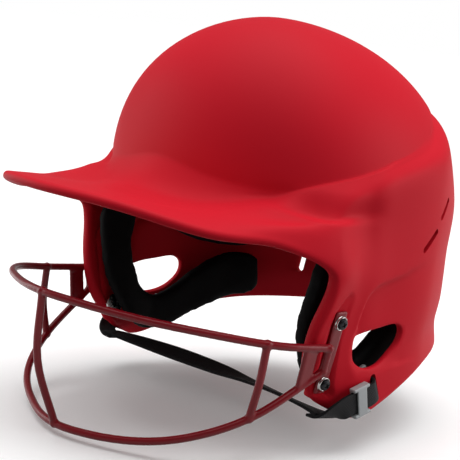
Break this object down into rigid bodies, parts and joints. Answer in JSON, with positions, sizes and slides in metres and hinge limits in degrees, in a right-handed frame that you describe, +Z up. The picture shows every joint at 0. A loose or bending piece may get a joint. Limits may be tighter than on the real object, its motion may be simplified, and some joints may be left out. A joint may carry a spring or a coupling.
{
  "type": "batting helmet",
  "caption": "Moulded fastpitch batting helmet with brim, ear flaps, wire face guard, foam liner pads and a webbing chin strap.",
  "frame": {"origin": "where the wearer's head meets the flat underside of the crown pad, in the middle plane", "axes": "+Z up, the wearer looks along -Y, +X is the wearer's left; seen from the front it is on the right"},
  "size_m": [0.2188, 0.2896, 0.2274],
  "materials": {
    "shell": "matte moulded",
    "guard": "satin coated wire",
    "foam": "smooth-skinned closed-cell foam",
    "webbing": "flat woven nylon",
    "screw": "black oxide",
    "hardware": "bright nickel",
    "buckle": "moulded grey"
  },
  "bodies": {
    "helmet": {"shell": "shell", "upper_bar": "guard", "lower_bar": "guard", "centre_strut": "guard", "crown_pad": "foam", "forehead_pad": "foam", "rear_pad": "foam", "left_cheek_strut": "guard", "left_end_bar": "guard", "left_side_plate": "guard", "left_mount_plate": "guard", "left_upper_screw": "screw", "left_upper_cup_washer": "hardware", "left_upper_tee_nut": "hardware", "left_lower_screw": "screw", "left_lower_cup_washer": "hardware", "left_lower_tee_nut": "hardware", "left_jaw_pad": "foam", "left_side_pad": "foam", "left_upper_pad": "foam", "left_strap_tab": "webbing", "left_strap_anchor": "buckle", "right_cheek_strut": "guard", "right_end_bar": "guard", "right_side_plate": "guard", "right_mount_plate": "guard", "right_upper_screw": "screw", "right_upper_cup_washer": "hardware", "right_upper_tee_nut": "hardware", "right_lower_screw": "screw", "right_lower_cup_washer": "hardware", "right_lower_tee_nut": "hardware", "right_jaw_pad": "foam", "right_side_pad": "foam", "right_upper_pad": "foam", "right_strap_tab": "webbing", "right_strap_anchor": "buckle"},
    "chin_strap": {"chin_strap": "webbing"},
    "left_slider": {"left_slider": "buckle"},
    "right_slider": {"right_slider": "buckle"}
  },
  "joints": [
    {"name": "chin_strap_swing", "type": "hinge", "parent": "helmet", "child": "chin_strap", "pos_m": [0, -0.0205, -0.1872], "axis": [1, 0, 0], "range_deg": [-60, 40]},
    {"name": "left_slider_travel", "type": "slide", "parent": "helmet", "child": "left_slider", "axis": [0.0233, 0.9669, 0.254], "range_m": [-0.004, 0.005]},
    {"name": "right_slider_travel", "type": "slide", "parent": "helmet", "child": "right_slider", "axis": [-0.0233, 0.9669, 0.254], "range_m": [-0.004, 0.005]}
  ]
}
